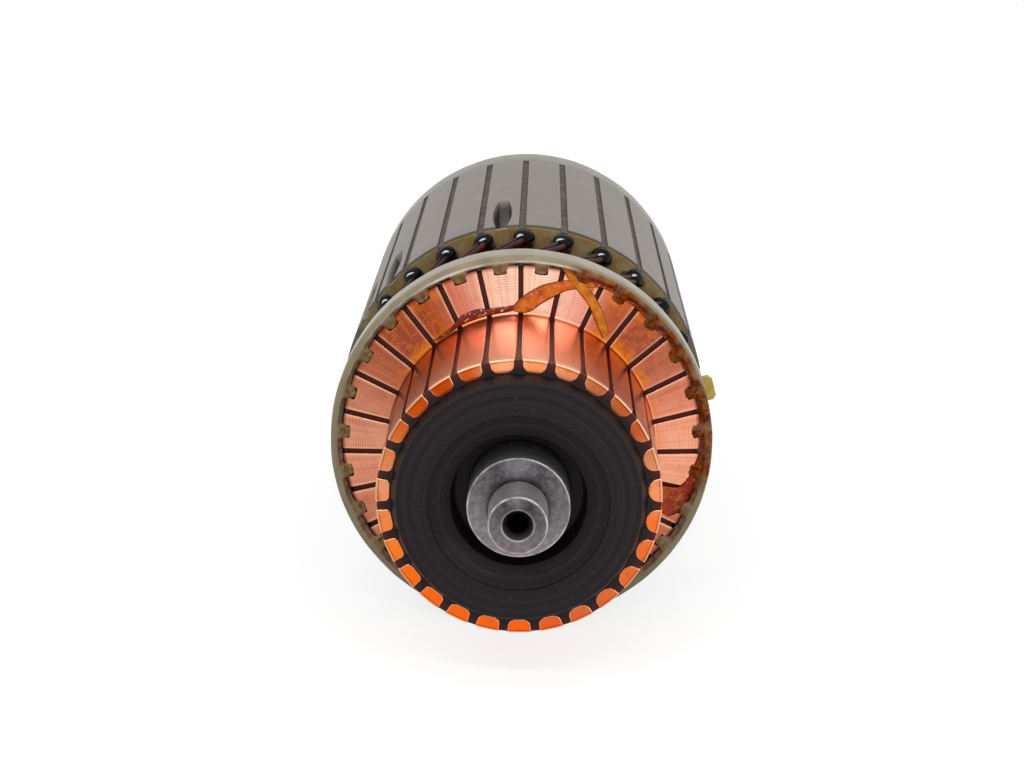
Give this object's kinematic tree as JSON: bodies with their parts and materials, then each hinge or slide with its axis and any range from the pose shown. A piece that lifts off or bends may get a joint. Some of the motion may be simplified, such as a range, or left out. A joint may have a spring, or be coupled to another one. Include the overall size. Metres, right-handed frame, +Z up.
{
  "type": "motor armature",
  "caption": "Wound rotor of a universal motor: slotted steel core on a stepped shaft, coil leads rising to a commutator with copper bars, flanged risers and resin rings.",
  "frame": {"origin": "on the shaft's axis, at the middle of the front bearing seat", "axes": "+Y along the shaft from the commutator to the drive end, +Z up, +X to the right as seen from the commutator end"},
  "size_m": [0.0572, 0.1798, 0.0566],
  "materials": {
    "turned_steel": "turned, ground on the bearing seats, bright on the edges",
    "sleeve_resin": "moulded tan insulation",
    "black_phenolic": "turned black moulding with fine circular grooves",
    "copper": "turned copper, bright on the brush track, fine grooves on the risers",
    "grey_resin": "cloudy grey-green resin, glossy",
    "pale_resin": "pale grey-green resin, satin",
    "core_steel": "lacquered sheet-steel edges, satin",
    "olive_insulation": "olive insulating coat",
    "liner_paper": "varnished insulating paper",
    "wedge_insulation": "dark varnished strip",
    "varnished_fold": "black, wet-looking varnish",
    "winding_wire": "enamelled copper wire under varnish",
    "lead_wire": "maroon enamelled copper wire, glossy",
    "yellow_insulation": "yellow insulating film"
  },
  "bodies": {
    "root": {"shaft": "turned_steel", "shaft_sleeve": "sleeve_resin", "commutator_moulding": "black_phenolic", "bar_01": "copper", "bar_02": "copper", "bar_03": "copper", "bar_04": "copper", "bar_05": "copper", "bar_06": "copper", "bar_07": "copper", "bar_08": "copper", "bar_09": "copper", "bar_10": "copper", "bar_11": "copper", "bar_12": "copper", "bar_13": "copper", "bar_14": "copper", "bar_15": "copper", "bar_16": "copper", "bar_17": "copper", "bar_18": "copper", "bar_19": "copper", "bar_20": "copper", "bar_21": "copper", "bar_22": "copper", "bar_23": "copper", "bar_24": "copper", "bar_25": "copper", "bar_26": "copper", "bar_27": "copper", "front_ring": "grey_resin", "lamination_stack": "core_steel", "front_end_plate": "olive_insulation", "rear_end_plate": "olive_insulation", "slot_liners": "liner_paper", "slot_bundles": "winding_wire", "slot_wedges": "wedge_insulation", "liner_folds": "varnished_fold", "coil_leads": "lead_wire", "front_coil_heads": "winding_wire", "rear_coil_heads": "winding_wire", "rear_ring": "pale_resin", "insulation_tab": "yellow_insulation"}
  },
  "joints": []
}
